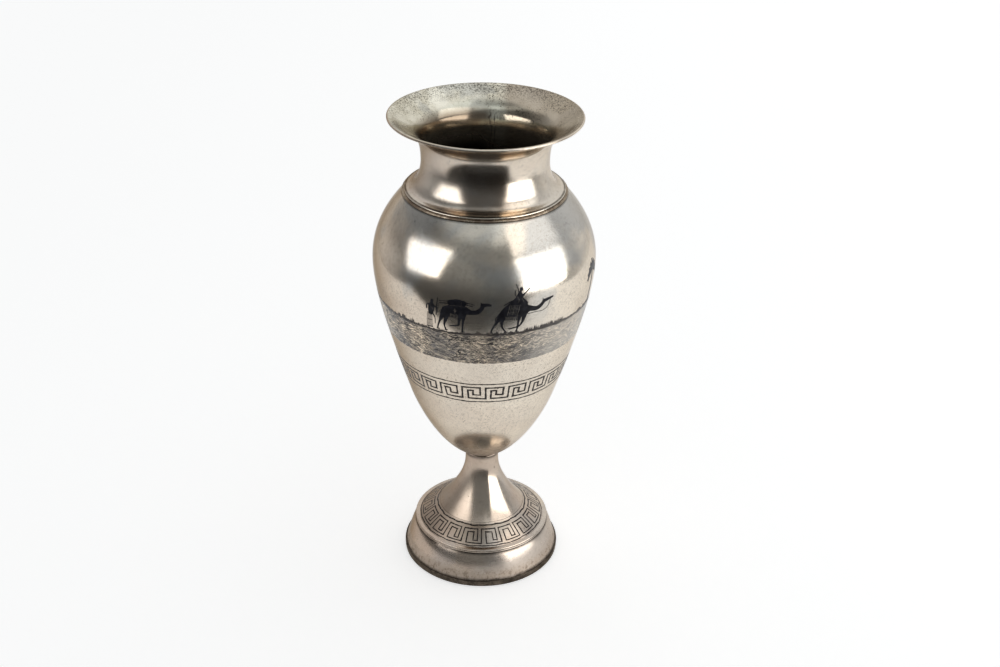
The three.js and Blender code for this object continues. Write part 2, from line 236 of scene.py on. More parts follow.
class Shading:
    """Nodes of one material or world."""

    def __init__(self, tree):
        self.tree = tree
        self.tree.nodes.clear()

    def add(self, kind, inputs=None, **settings):
        node = self.tree.nodes.new(kind)
        for key, value in settings.items():
            setattr(node, key, value)
        for key, value in (inputs or {}).items():
            if isinstance(value, bpy.types.NodeSocket):
                self.tree.links.new(value, node.inputs[key])
            else:
                node.inputs[key].default_value = value
        return node

    def noise(self, vector, scale, detail=4.0, roughness=0.55, warp=0.0):
        return self.add("ShaderNodeTexNoise", {
            "Vector": vector, "Scale": scale, "Detail": detail, "Roughness": roughness, "Distortion": warp,
        }).outputs["Fac"]

    def stretched(self, vector, finer, turn=(0, 0, 0)):
        """Places turned, and then made finer along each axis by these factors."""
        inputs = {"Vector": vector, "Scale": [1 / share for share in finer], "Rotation": turn}
        return self.add("ShaderNodeMapping", inputs, vector_type="TEXTURE").outputs["Vector"]

    def ramp(self, value, low, high, to_low=0.0, to_high=1.0):
        """A smooth change from one number to another between two values."""
        inputs = {"Value": value, "From Min": low, "From Max": high, "To Min": to_low, "To Max": to_high}
        return self.add("ShaderNodeMapRange", inputs, interpolation_type="SMOOTHSTEP").outputs["Result"]

    def math(self, operation, a, b=0.0):
        return self.add("ShaderNodeMath", {0: a, 1: b}, operation=operation).outputs[0]

    def times(self, a, b):
        return self.math("MULTIPLY", a, b)

    def plus(self, a, b):
        return self.math("ADD", a, b)

    def minus(self, a, b):
        return self.math("SUBTRACT", a, b)

    def mix(self, share, a, b, blend="MIX"):
        made = self.add("ShaderNodeMix", {0: share, 6: a, 7: b}, data_type="RGBA", blend_type=blend)
        return made.outputs[2]

    def show(self, shader):
        self.add("ShaderNodeOutputMaterial", {"Surface": shader.outputs["BSDF"]})

    def bump(self, height, depth, under=None):
        """The normal of a rough surface whose depth is in millimetres, over another normal."""
        inputs = {"Height": height, "Distance": depth * mm, "Strength": 1.0}
        if under is not None:
            inputs["Normal"] = under
        return self.add("ShaderNodeBump", inputs).outputs["Normal"]

    def between(self, height, low, high, at_low=0.0, at_high=1.0):
        """A share that changes from one level to another."""
        return self.ramp(height, low * mm, high * mm, at_low, at_high)

    def near(self, height, level, reach):
        """1 at a level, falling to 0 at the reach below and above it."""
        away = self.math("ABSOLUTE", self.minus(height, level * mm))
        return self.between(away, 0.0, reach, 1.0, 0.0)

    def position(self):
        return self.add("ShaderNodeNewGeometry").outputs["Position"]

    def where(self):
        """The position on the object, and its three parts."""
        position = self.position()
        parts = self.add("ShaderNodeSeparateXYZ", {"Vector": position}).outputs
        return position, parts["X"], parts["Y"], parts["Z"]


def surface(name):
    material = bpy.data.materials.new(name)
    material.use_nodes = True
    return material, Shading(material.node_tree)


def finished(s, color, roughness, bump_height, bump_depth, metallic, edge=(1, 1, 1, 1), gloss=0.5,
             dents=None, streaks=0.0):
    """The shader. Edge tints what is seen at a slant, and streaks blur reflections up and down the wall."""
    inputs = {
        "Base Color": color,
        "Roughness": roughness,
        "Metallic": metallic,
        "Specular Tint": edge,
        "Specular IOR Level": gloss,
        "Normal": s.bump(bump_height, bump_depth, dents),
    }
    if streaks:
        tangent = s.add("ShaderNodeTangent", direction_type="RADIAL", axis="Z").outputs["Tangent"]
        inputs.update({"Anisotropic": streaks, "Anisotropic Rotation": 0.25, "Tangent": tangent})
    s.show(s.add("ShaderNodeBsdfPrincipled", inputs))


def matt(s, color, glow, strength):
    """A dull white or black that glows."""
    s.show(s.add("ShaderNodeBsdfPrincipled", {
        "Base Color": color, "Roughness": 0.9, "Specular IOR Level": 0.0,
        "Emission Color": glow, "Emission Strength": strength,
    }))


clean_silver = (0.80, 0.72, 0.61, 1)
film_brown = (0.46, 0.365, 0.295, 1)
worn_grey = (0.40, 0.415, 0.42, 1)
scratch_brown = (0.24, 0.19, 0.15, 1)
tarnish_and_shade_brown = (0.17, 0.125, 0.09, 1)
pale_tarnish = (0.42, 0.345, 0.28, 1)
tarnish_and_shade_dark = (0.03, 0.024, 0.019, 1)
left_edge_tint = (0.44, 0.38, 0.31, 1)
right_edge_tint = (0.74, 0.70, 0.65, 1)
worn_edge_tint = (0.6, 0.56, 0.5, 1)


def silver(name, film, polish=0.13, dull_and_shaded_left=0.0, hazy=(0, 1, 0.3, 0.3), stained=None,
           specked=(0, 1, 0.3, 0.3), painted_dark_reflection=0.0, grime_and_shade=(), brushed=(1, 1, 40), metallic=0.95,
           streaks=0.0):
    """Worn silver under a brown film, which is thicker on the left.

    Hazy and specked are two levels and the share of bluish haze, or of fine pits, at each. Stained is two
    levels and an amount: pale brown stains that are thickest at the first level and end at the second. Grime
    and shade is levels, reaches and amounts of rings that are partly tarnish and partly painted shade. Dull
    and shaded left is how much rougher, and browner by painted shade, the left side is. Painted dark
    reflection is the share of a brown patch at the middle of the front, a painted reflection of something
    dark.
    """
    material, s = surface(name)
    position, across, depth, height = s.where()

    # The film, in soft clouds
    cloud = s.noise(position, 34, 4, 0.55)
    aside = s.ramp(across, -0.05, 0.03, 0.36, -0.12)
    thickness = s.plus(s.ramp(cloud, 0.3, 0.7, film - 0.18, film + 0.2), aside)
    thickness.node.use_clamp = True
    color = s.mix(thickness, clean_silver, film_brown)
    # Painted dark reflection: a brown patch at the middle of the front stands for something dark mirrored
    # there.
    if painted_dark_reflection:
        middle = s.between(s.math("ABSOLUTE", across), 14, 7)
        painted_shade_patch = s.times(middle, s.between(depth, -10, -25, 0.0, painted_dark_reflection))
        painted_shade_patch = s.times(painted_shade_patch, s.between(height, waist[1] + 7, waist[1] + 3))
        color = s.mix(painted_shade_patch, color, tarnish_and_shade_brown)

    # Large bluish places where the polish is worn, and small ones
    haze = s.noise(position, 27, 4, 0.5, 0.4)
    color = s.mix(s.times(s.ramp(haze, 0.44, 0.6), s.between(height, *hazy)), color, worn_grey)
    mottle = s.noise(position, 600, 5, 0.75)
    color = s.mix(s.ramp(mottle, 0.5, 0.64, 0, 0.2), color, tarnish_and_shade_brown)

    # Fine scratches round the vase, and others that cross it
    round_lines = s.noise(s.stretched(position, brushed), 160, 4, 0.75)
    cross_lines = s.noise(s.stretched(position, (34, 1, 1), (0, 0.5, 0.2)), 120, 3, 0.7)
    other_lines = s.noise(s.stretched(position, (30, 1, 1), (0, -0.35, -0.9)), 130, 3, 0.7)
    scratches = s.math("MAXIMUM", round_lines, s.math("MAXIMUM", cross_lines, other_lines))
    color = s.mix(s.ramp(scratches, 0.6, 0.78, 0, 0.34), color, scratch_brown)

    # Fine pits in patches, and single larger ones
    fine = s.noise(position, 1500, 2, 0.6)
    patches = s.noise(position, 48, 5, 0.65)
    share = s.times(s.ramp(patches, 0.36, 0.6, 0.25, 1.0), s.between(height, *specked))
    pits = s.times(s.ramp(fine, 0.54, 0.68), share)
    color = s.mix(pits, color, tarnish_and_shade_brown)
    single = s.ramp(s.noise(position, 560, 3, 0.6), 0.70, 0.74, 0.0, 0.75)
    color = s.mix(single, color, tarnish_and_shade_dark)

    # Stains, which are dull, rings of grime with painted shade in the corners, and painted shade on the left
    rough = s.ramp(haze, 0.4, 0.7, polish, polish + 0.1)
    stain = s.noise(position, 190, 6, 0.72, 0.5)
    if stained:
        thick, none, most = stained
        amount = s.times(s.ramp(stain, 0.3, 0.55, 0.35, 1.0), s.between(height, thick, none, most, 0.0))
        color = s.mix(amount, color, pale_tarnish)
        blots = s.noise(position, 420, 5, 0.75)
        color = s.mix(s.times(s.ramp(blots, 0.5, 0.6, 0, 0.85), amount), color, tarnish_and_shade_brown)
        rough = s.plus(rough, s.times(amount, 0.3))
        metallic = s.minus(metallic, s.times(amount, 0.3))
    # Darker rings at grooves and joints: partly tarnish, partly painted shade.
    for level, reach, strength in grime_and_shade:
        ragged = s.times(s.near(height, level, reach), s.ramp(stain, 0.25, 0.55, 0.5, 1.0))
        color = s.mix(s.times(ragged, strength), color, tarnish_and_shade_dark)
    # The left is rougher, and painted shade browns it.
    if dull_and_shaded_left:
        rough = s.plus(rough, s.between(across, -14, 4, dull_and_shaded_left, 0.0))
        color = s.mix(s.between(across, -18, -7, dull_and_shaded_left, 0.0), color, tarnish_and_shade_brown)

    bumps = s.minus(s.times(scratches, -0.5), s.times(pits, 0.2))
    dents = s.bump(s.noise(position, 26, 2, 0.5), 0.09)
    edge = s.mix(s.between(across, -30, 30), left_edge_tint, right_edge_tint)
    finished(s, color, rough, bumps, 0.012, metallic, edge, dents=dents, streaks=streaks)
    return material


def hollow_silver(name, dark_from, bright_from):
    """The inside: bright near the mouth and dark below, with pits along the lip and runs of old water."""
    material, s = surface(name)
    position, across, depth, height = s.where()

    # Pale and yellowish places, greyer clouds, and a brown right side that is a painted dark reflection
    cloud = s.noise(position, 60, 5, 0.6)
    color = s.mix(s.ramp(cloud, 0.35, 0.65), (0.92, 0.89, 0.77, 1), (0.68, 0.64, 0.52, 1))
    haze = s.noise(position, 45, 3, 0.5, 0.5)
    color = s.mix(s.ramp(haze, 0.5, 0.6, 0, 0.45), color, (0.36, 0.37, 0.36, 1))
    # The brown right side is painted: it stands for a dark reflection.
    side = s.between(s.plus(across, s.times(cloud, 12 * mm)), 12, 19, 0, 0.75)
    color = s.mix(side, color, (0.34, 0.275, 0.21, 1))
    lines = s.noise(s.stretched(position, (1, 1, 30), (0.1, 0.1, 0)), 150, 4, 0.75)
    color = s.mix(s.ramp(lines, 0.56, 0.76, 0, 0.35), color, tarnish_and_shade_brown)

    # Pits along the lip, most of them at the back
    fine = s.noise(position, 1300, 3, 0.65)
    back = s.between(depth, -20, 40, 0.3, 1.0)
    edge = s.between(s.plus(height, s.times(cloud, 9 * mm)), neck_top - 1.5, neck_top + 5.5)
    pits = s.times(s.ramp(fine, 0.46, 0.6), s.times(edge, back))
    inner_pits = s.times(s.ramp(fine, 0.54, 0.64), s.ramp(cloud, 0.48, 0.6))
    color = s.mix(s.times(s.math("MAXIMUM", pits, inner_pits), 0.85), color, tarnish_and_shade_dark)

    # Runs down the back wall: distance to the right of the middle, half width, and depth of the top
    for to_right, half_width, top in ((5.4, 0.26, 1), (7.4, 0.2, 3), (-3.6, 0.12, 6)):
        wander = s.times(s.noise(position, 90, 5, 0.7), 6 * mm)
        off = s.minus(s.plus(across, wander), to_right * mm)
        run = s.between(s.math("ABSOLUTE", off), 0.3 * half_width, 1.5 * half_width, 1.0, 0.0)
        below = s.between(height, bright_from - top, bright_from - top - 4)
        shown = s.times(s.times(run, s.between(depth, 0, 5)), s.times(below, 0.9))
        color = s.mix(shown, color, tarnish_and_shade_dark)

    # A brown patch of painted shade at the left, and the darkening below, whose upper edge is ragged and
    # climbs to the right
    ragged = s.plus(height, s.times(cloud, 5 * mm))
    ragged = s.minus(ragged, s.between(across, -5, 8, 5 * mm, -4 * mm))
    painted_shade_patch = s.times(s.between(across, 5, -1), s.near(height, bright_from - 5, 6))
    color = s.mix(s.times(painted_shade_patch, 0.9), color, tarnish_and_shade_brown)
    brown = s.between(ragged, dark_from + 2, bright_from + 1, 0.75, 0.0)
    color = s.mix(brown, color, (0.26, 0.19, 0.125, 1))
    black_depth = s.between(ragged, dark_from - 8, dark_from + 5, 1.0, 0.0)
    color = s.mix(black_depth, color, (0.03, 0.022, 0.016, 1))
    rough = s.plus(s.ramp(haze, 0.3, 0.7, 0.13, 0.25), s.times(black_depth, 0.2))
    finished(s, color, rough, s.minus(s.times(lines, -0.5), pits), 0.014, 0.9, worn_edge_tint)
    return material


def tarnished(name, color, spots):
    """Silver under a dark skin with spots and fine lines round the vase."""
    material, s = surface(name)
    position = s.position()
    stain = s.noise(position, 150, 6, 0.7, 0.4)
    shade = s.mix(s.ramp(stain, 0.38, 0.62), color, spots)
    lines = s.noise(s.stretched(position, (1, 1, 30)), 80, 3)
    shade = s.mix(s.ramp(lines, 0.56, 0.8, 0, 0.4), shade, film_brown)
    rough = s.ramp(stain, 0.35, 0.65, 0.24, 0.42)
    finished(s, shade, rough, s.plus(stain, lines), 0.02, 0.9, worn_edge_tint)
    return material


def niello(name, color, worn_color, worn_share):
    """Black niello, with thin places where the silver's grain shows."""
    material, s = surface(name)
    position = s.position()
    cloud = s.noise(position, 500, 4, 0.6)
    shade = s.mix(s.ramp(cloud, 0.35, 0.7), color, worn_color)
    worn = s.noise(s.stretched(position, (1, 1, 6)), 900, 3, 0.6)
    shade = s.mix(s.ramp(worn, 0.64, 0.78, 0, worn_share), shade, (0.2, 0.17, 0.15, 1))
    finished(s, shade, s.ramp(cloud, 0.3, 0.7, 0.3, 0.45), worn, 0.006, 0.1, gloss=0.2)
    return material


def ground_niello(name, high):
    """Grey niello that is cut through by short wavy strokes of the graver, so that the silver shows."""
    material, s = surface(name)
    position, across, _, height = s.where()

    # The strokes swirl: their places are pushed about by a broad noise.
    swirl = s.add("ShaderNodeTexNoise", {"Vector": position, "Scale": 75, "Detail": 1.0}).outputs["Color"]
    push = s.add("ShaderNodeVectorMath", {0: swirl, "Scale": 9 * mm}, operation="SCALE").outputs["Vector"]
    pushed = s.add("ShaderNodeVectorMath", {0: position, 1: push}, operation="ADD").outputs["Vector"]
    cloud = s.noise(position, 55, 4, 0.6)
    grey = s.mix(s.ramp(cloud, 0.4, 0.6), (0.16, 0.15, 0.145, 1), (0.28, 0.235, 0.19, 1))
    dark = s.noise(s.stretched(pushed, (1, 1, 3)), 150, 5, 0.7)
    grey = s.mix(s.ramp(dark, 0.45, 0.6, 0, 0.94), grey, (0.03, 0.03, 0.034, 1))
    first = s.noise(s.stretched(pushed, (1, 1, 6), (0, 0.35, 0)), 280, 4, 0.75)
    second = s.noise(s.stretched(pushed, (1, 1, 6), (0.2, -0.4, 0)), 340, 4, 0.75)
    third = s.noise(s.stretched(pushed, (1, 1, 7), (0, 0.05, 0.3)), 320, 3, 0.7)
    bright = s.math("MAXIMUM", s.ramp(first, 0.53, 0.59), s.ramp(second, 0.54, 0.60))
    bare = s.times(bright, s.ramp(cloud, 0.38, 0.58, 0.42, 1.0))
    color = s.mix(bare, grey, (0.92, 0.78, 0.60, 1))
    color = s.mix(s.ramp(third, 0.53, 0.59, 0, 0.9), color, (0.04, 0.035, 0.035, 1))

    # The right side is lighter, and the upper edge is cut solid.
    color = s.mix(s.between(across, 8, 36, 0, 0.45), color, (0.62, 0.585, 0.53, 1))
    edge = s.between(s.plus(height, s.times(dark, 1.6 * mm)), high - 1.1, high - 0.2, 0, 0.9)
    color = s.mix(edge, color, (0.03, 0.026, 0.026, 1))
    bumps = s.minus(s.times(dark, 0.6), bright)
    finished(s, color, s.ramp(cloud, 0.3, 0.7, 0.28, 0.4), bumps, 0.03, 0.8)
    return material


foot_groove = foot_bead_foot + 0.95
neck_groove = neck_bead_foot + 1.05

foot_silver = silver(
    "foot_silver", film=0.78, polish=0.2, stained=(5, 11, 0.9), specked=(5, 11, 0.7, 0.02),
    grime_and_shade=[(skirt_foot, 1.7, 0.85), (skirt_top, 1.5, 1.0)],
)
stem_silver = silver(
    "stem_silver", film=0.8, polish=0.15, dull_and_shaded_left=0.22, specked=(19, 27, 0.5, 0.06),
    grime_and_shade=[(dome_foot, 0.2, 0.5), (dome_top[1] + 0.48, 0.14, 0.9), (collar_foot, 2.2, 0.75)],
    brushed=(30, 30, 1), streaks=0.4,
)
body_silver = silver(
    "body_silver", film=0.1, polish=0.15, hazy=(150, 185, 0.1, 0.7), stained=(62, 82, 1.0),
    specked=(158, 200, 0.6, 0.12), grime_and_shade=[(body_foot, 6, 0.6), (body_top, 0.9, 0.7)], metallic=0.93,
)
neck_silver = silver(
    "neck_silver", film=0.36, polish=0.17, painted_dark_reflection=0.8, specked=(234, 244, 0.05, 0.3), metallic=0.97,
)
foot_bead_silver = silver(
    "foot_bead_silver", film=0.66, grime_and_shade=[(foot_bead_foot, 0.6, 1.0), (foot_groove, 0.3, 0.75)],
)
neck_bead_silver = silver(
    "neck_bead_silver", film=0.15, polish=0.12, specked=(0, 1, 0.15, 0.15),
    grime_and_shade=[(neck_bead_foot, 0.3, 0.8), (neck_groove, 0.22, 0.85)],
)
rim_silver = tarnished("rim_silver", (0.10, 0.08, 0.062, 1), (0.035, 0.028, 0.022, 1))
seat_silver = tarnished("seat_silver", (0.42, 0.35, 0.27, 1), (0.16, 0.12, 0.09, 1))
neck_inside = hollow_silver("neck_inside", waist[1] - 1, neck_top - 6)
black = niello("black_niello", (0.003, 0.003, 0.006, 1), (0.012, 0.012, 0.018, 1), 0.25)
line_black = niello("line_niello", (0.010, 0.008, 0.007, 1), (0.035, 0.026, 0.022, 1), 0.4)
ground = ground_niello("ground_niello", extent("ground_band")[1])


# Silver pieces. Each ring has its own width, measured inwards.

rim_width, rim_taper, rim_rounding = 3, 0.1, 0.45
turned("foot_rim", rounded([
    (rim_radius - rim_width, rim_foot), (rim_radius - rim_taper, rim_foot),
    (rim_radius, rim_top), (rim_radius - rim_width, rim_top),
], rim_rounding), [rim_silver])
turned("foot_skirt", [*skirt_outline, *inside(skirt_outline, 8)], [foot_silver])

# The foot bead is a thin ring under a thicker roll, which stands a little further out.
foot_bead_width, ring_setback = 3.8, 0.1
foot_ring = roll(foot_bead_radius - ring_setback, foot_bead_width - ring_setback,
                 foot_bead_foot, foot_groove, 8)
foot_roll = roll(foot_bead_radius, foot_bead_width, foot_groove, foot_bead_top, 12)
turned("foot_bead", foot_ring[:-1] + foot_roll[1:], [foot_bead_silver])
turned("foot_stem", [*stem_outline, *inside(stem_outline, 24)], [stem_silver])
collar_width = 2
turned("stem_collar", roll(collar_radius, collar_width, collar_foot, collar_top, 9), [stem_silver])
turned("body", [(0, body_foot), *body_outline, *inside(body_outline, 40)[:-1], (0, body_foot + sheet)],
       [body_silver, neck_inside], inner_from=len(body_outline) + 1)
seat_width = 4
turned("neck_seat", roll(seat_radius, seat_width, seat_foot, seat_top, 9), [seat_silver])

# The neck bead is a small roll with a slope above it that runs on into the neck.
neck_bead_width, small_roll_height = 4.9, 1
small_roll = roll(neck_bead_radius, 0.9, neck_bead_foot, neck_bead_foot + small_roll_height, 10)[1:-1]
slope_foot = (neck_bead_radius - 0.75, neck_bead_foot + small_roll_height + 0.08)
bead_slope = stretch((*slope_foot, 178, 0.3), (neck_foot_radius, neck_foot, 164, 0.4), 8)
bead_back = neck_bead_radius - neck_bead_width
turned("neck_bead", [(bead_back, neck_bead_foot), *small_roll, *bead_slope, (bead_back, neck_bead_top)],
       [neck_bead_silver])
turned("neck", [*neck_outline, *inside(neck_outline, 30)], [neck_silver, neck_inside],
       inner_from=len(neck_outline))
lip_edge = [
    (lip_radius - 1.7, lip_foot), (lip_radius - 0.2, lip_foot), (lip_radius, lip_foot + 0.25),
    (lip_radius, lip_top - 0.4), (lip_radius - 0.25, lip_top - 0.08), (lip_radius - 0.65, lip_top),
]
lip_slope = stretch((*lip_edge[-1], 180, 0.3), (mouth_radius - 2.1, lip_foot, 218.5, 0.3), 6)[1:]
turned("lip_wire", [*lip_edge, *lip_slope], [neck_silver, neck_inside],
       inner_from=len(lip_edge) - 1)


# Niello bands and keys

proud = 0.04  # how far the niello stands above the silver, too little to see
let_in = 0.25  # how far it reaches into the silver
line_steps = 540
stroke_step = 0.9  # the longest step along a stroke of a key
width_slip = 0.13  # how unevenly wide a stroke is, as a share


def band(name, outline, angles, low, high, rows, material):
    """A closed ring of niello between two uneven edges."""
    share = np.linspace(0, 1, rows)
    levels = low[:, None] + (high - low)[:, None] * share
    across = np.broadcast_to(angles[:, None], levels.shape)
    top = place(outline, across, levels, proud)
    floor = place(outline, across, levels, -let_in)
    points = np.concatenate([top, floor[:, ::-1]], axis=1)
    count, columns = 2 * rows, len(angles)
    faces = []
    for i in range(columns):
        a, b = i * count, (i + 1) % columns * count
        faces += [(a + j, b + j, b + (j + 1) % count, a + (j + 1) % count) for j in range(count)]
    return piece(name, points.reshape(-1, 3), faces, [material])


def wavering(angles, size, *turns):
    """Small hand-cut departures from a true line."""
    return size * sum(np.sin(n * angles + 1.7 * i) for i, n in enumerate(turns)) / len(turns)


def engraved_line(node, outline, width):
    low, high, _ = extent(node)
    angles = np.linspace(0, 2 * np.pi, line_steps, endpoint=False)
    middle = (low + high) / 2 + wavering(angles, 0.16, 9, 17, 31)
    half = width / 2 * (1 + wavering(angles, 0.35, 23, 57, 91))
    band(node, outline, angles, middle - half, middle + half, 2, line_black)


engraved_line("body_key_lower_line", body_outline, width=0.62)
engraved_line("body_key_upper_line", body_outline, width=0.62)
engraved_line("foot_key_outer_line", stem_outline, width=0.38)
engraved_line("foot_key_inner_line", stem_outline, width=0.38)


def key_unit(top_end, turn_low, turn_middle, turn_high, turn_start):
    """The corners of one unit of a key, as shares of its length and of the key's height."""
    return [
        (0, 0), (0, 1), (top_end, 1), (top_end, turn_low),
        (turn_middle, turn_low), (turn_middle, turn_high), (turn_start, turn_high), (turn_start, 0),
    ]


def running_key(node, outline, unit, units, turn, width, slip, seed):
    """A running key as one closed ribbon with square corners, each cut a little out of place as by hand.

    Turn is the degrees from the front to the start of a unit.
    """
    low, high, _ = extent(node)
    low, high = low + width / 2, high - width / 2
    radius = np.interp((low + high) / 2, outline[:, 1], outline[:, 0])
    low_radius, high_radius = np.interp((low, high), outline[:, 1], outline[:, 0])
    climb = math.hypot(low_radius - high_radius, high - low)
    per_mm = (high - low) / climb  # level gained by a millimetre along the wall
    random = np.random.default_rng(seed)
    girth = 2 * np.pi * radius
    corners = np.array([(girth * (i + along) / units, up * climb)
                        for i in range(units) for along, up in unit])
    corners = corners + random.normal(0, slip, (len(corners), 2))
    ahead = np.vstack([corners[1:], corners[:1] + np.array([girth, 0])])
    stops, lefts = [], []
    to_next = ahead - corners
    to_next /= np.linalg.norm(to_next, axis=1)[:, None]
    from_last = np.roll(to_next, 1, axis=0)
    for corner, target, leaving, arriving in zip(corners, ahead, to_next, from_last):
        bisector = leaving + arriving
        stops.append(corner)
        lefts.append(np.array([-bisector[1], bisector[0]]) / (1 + leaving @ arriving))
        straight = np.array([-leaving[1], leaving[0]])
        pieces_between = max(1, int(np.linalg.norm(target - corner) / stroke_step))
        for k in range(1, pieces_between):
            stops.append(corner + (target - corner) * k / pieces_between)
            lefts.append(straight)
    stops, lefts = np.array(stops), np.array(lefts)
    half = width / 2 * (1 + random.normal(0, width_slip, len(stops)))[:, None]
    left, right = stops + lefts * half, stops - lefts * half
    places = [
        place(outline, rail[:, 0] / radius + math.radians(turn), low + rail[:, 1] * per_mm, lift)
        for rail, lift in ((left, proud), (left, -let_in), (right, -let_in), (right, proud))
    ]
    points = np.stack(places, axis=1)
    count = len(stops)
    faces = []
    for i in range(count):
        a, b = 4 * i, 4 * ((i + 1) % count)
        faces += [(a + j, b + j, b + (j + 1) % 4, a + (j + 1) % 4) for j in range(4)]
    return piece(node, points.reshape(-1, 3), faces, [line_black])


body_unit = key_unit(0.78, 0.3, 0.47, 0.74, 0.25)
foot_unit = key_unit(0.79, 0.19, 0.58, 0.79, 0.24)
running_key("body_key", body_outline, body_unit, units=24, turn=1.8, width=0.94, slip=0.12, seed=3)
running_key("foot_key", stem_outline, foot_unit, units=18, turn=0.6, width=0.64, slip=0.08, seed=5)


# The ground that the caravan walks on, with tufts of grass along its upper edge

ground_low, ground_high, _ = extent("ground_band")

# Bushes and grass: the middle and the width in degrees, the height, and the blades to a degree
bushes = (
    (-60, 12, 1.3, 2), (-49, 2, 2.4, 5), (-45, 4, 2.7, 4), (-39, 2.5, 2.2, 4), (-2.6, 1.6, 2.3, 5),
    (2.4, 1.2, 2.0, 4), (6.2, 1.8, 1.7, 4), (13, 4, 1.3, 3), (33, 24, 2.4, 4), (64, 12, 2.1, 2),
    (-118, 22, 2.3, 2), (120, 20, 2.2, 2), (168, 24, 2.4, 2), (-160, 18, 2.0, 2),
)
edge_radius = 54  # of the body at the ground's upper edge
short_blades = 800


def tufts(angles, seed):
    """How high the grass and bushes stand above the ground's edge."""
    random = np.random.default_rng(seed)
    height = np.zeros_like(angles)

    def blade(spot, half, tall):
        away = np.abs((angles - spot + np.pi) % (2 * np.pi) - np.pi)
        np.maximum(height, tall * np.clip(1 - away / half, 0, None), out=height)

    for _ in range(short_blades):
        blade(random.uniform(0, 2 * np.pi), random.uniform(0.15, 0.3) / edge_radius, random.uniform(0.2, 0.9))
    for middle, width, tall, dense in bushes:
        for _ in range(int(width * dense)):
            spot = math.radians(middle + random.uniform(-0.5, 0.5) * width)
            blade(spot, random.uniform(0.18, 0.42) / edge_radius, random.uniform(0.4, 1) * tall)
    return height


around = np.linspace(0, 2 * np.pi, 3000, endpoint=False)
lower_edge = ground_low + wavering(around, 0.22, 13, 29, 71, 133)
upper_edge = ground_high - 0.3 + wavering(around, 0.3, 4, 9, 37) + tufts(around, 11)
band("ground_band", body_outline, around, lower_edge, upper_edge, 14, ground)


# Figures, drawn flat as strokes that taper. A stroke is a list of stops, (across, up, half width), in
# millimetres from the place on the ground where the figure stands. Openings are strokes of bare silver.

grid_step = 0.1
least_distance = 0.001  # nearer to a shape's edge than this, a grid point counts as inside
figure_foot = ground_high + 0.1
figure_middle = figure_foot + 12  # the level at which a figure is as wide as it is drawn


def curved(stops, steps=6):
    """The stops of a stroke with a smooth line through them."""
    stops = np.asarray(stops, float)
    if len(stops) < 3:
        return stops
    padded = np.vstack([2 * stops[0] - stops[1], stops, 2 * stops[-1] - stops[-2]])
    made = []
    for a, b, c, d in zip(padded, padded[1:], padded[2:], padded[3:]):
        for t in np.arange(steps) / steps:
            made.append(0.5 * (2 * b + (c - a) * t + (2 * a - 5 * b + 4 * c - d) * t**2
                               + (3 * b - a - 3 * c + d) * t**3))
    return np.vstack([made, stops[-1]])


def stroke_distance(x, y, stops):
    nearest = np.full(x.shape, far)
    for (x0, y0, w0), (x1, y1, w1) in zip(stops, stops[1:]):
        length = max((x1 - x0) ** 2 + (y1 - y0) ** 2, 1e-9)
        t = np.clip(((x - x0) * (x1 - x0) + (y - y0) * (y1 - y0)) / length, 0, 1)
        away = np.hypot(x - x0 - t * (x1 - x0), y - y0 - t * (y1 - y0)) - w0 - t * (w1 - w0)
        nearest = np.minimum(nearest, away)
    return nearest


def merged(a, b, softness=0.45):
    """The nearer of two distances, with a fillet where the shapes meet."""
    share = np.clip(0.5 + 0.5 * (b - a) / softness, 0, 1)
    return b + (a - b) * share - softness * share * (1 - share)


def plate_distance(x, y, corners):
    """Distance to a filled shape with straight sides, its corners listed against the clock."""
    corners = np.asarray(corners, float)
    worst = np.full(x.shape, -far)
    for (x0, y0), (x1, y1) in zip(corners, np.roll(corners, -1, 0)):
        length = math.hypot(x1 - x0, y1 - y0)
        worst = np.maximum(worst, ((x - x0) * (y1 - y0) - (y - y0) * (x1 - x0)) / length)
    return worst


def figure(node, degrees, flesh, fine=(), plates=(), openings=()):
    """A figure of soft strokes that run into each other, fine strokes, plates, and openings."""
    reach = np.vstack([
        *[curved(stops) for stops in (*flesh, *fine)],
        *[np.c_[corners, np.zeros(len(corners))] for corners in plates],
    ])
    low = reach[:, :2].min(0) - reach[:, 2].max() - 1
    high = reach[:, :2].max(0) + reach[:, 2].max() + 1
    x = np.arange(low[0], high[0], grid_step)
    y = np.arange(low[1], high[1], grid_step)
    grid_x, grid_y = np.meshgrid(x, y, indexing="ij")
    distance = np.full(grid_x.shape, far)
    for stops in flesh:
        distance = merged(distance, stroke_distance(grid_x, grid_y, curved(stops)))
    for stops in fine:
        distance = np.minimum(distance, stroke_distance(grid_x, grid_y, curved(stops)))
    for corners in plates:
        distance = np.minimum(distance, plate_distance(grid_x, grid_y, corners))
    for stops in openings:
        distance = np.maximum(distance, -stroke_distance(grid_x, grid_y, curved(stops)))
    return filled(node, math.radians(degrees), x, y, distance)


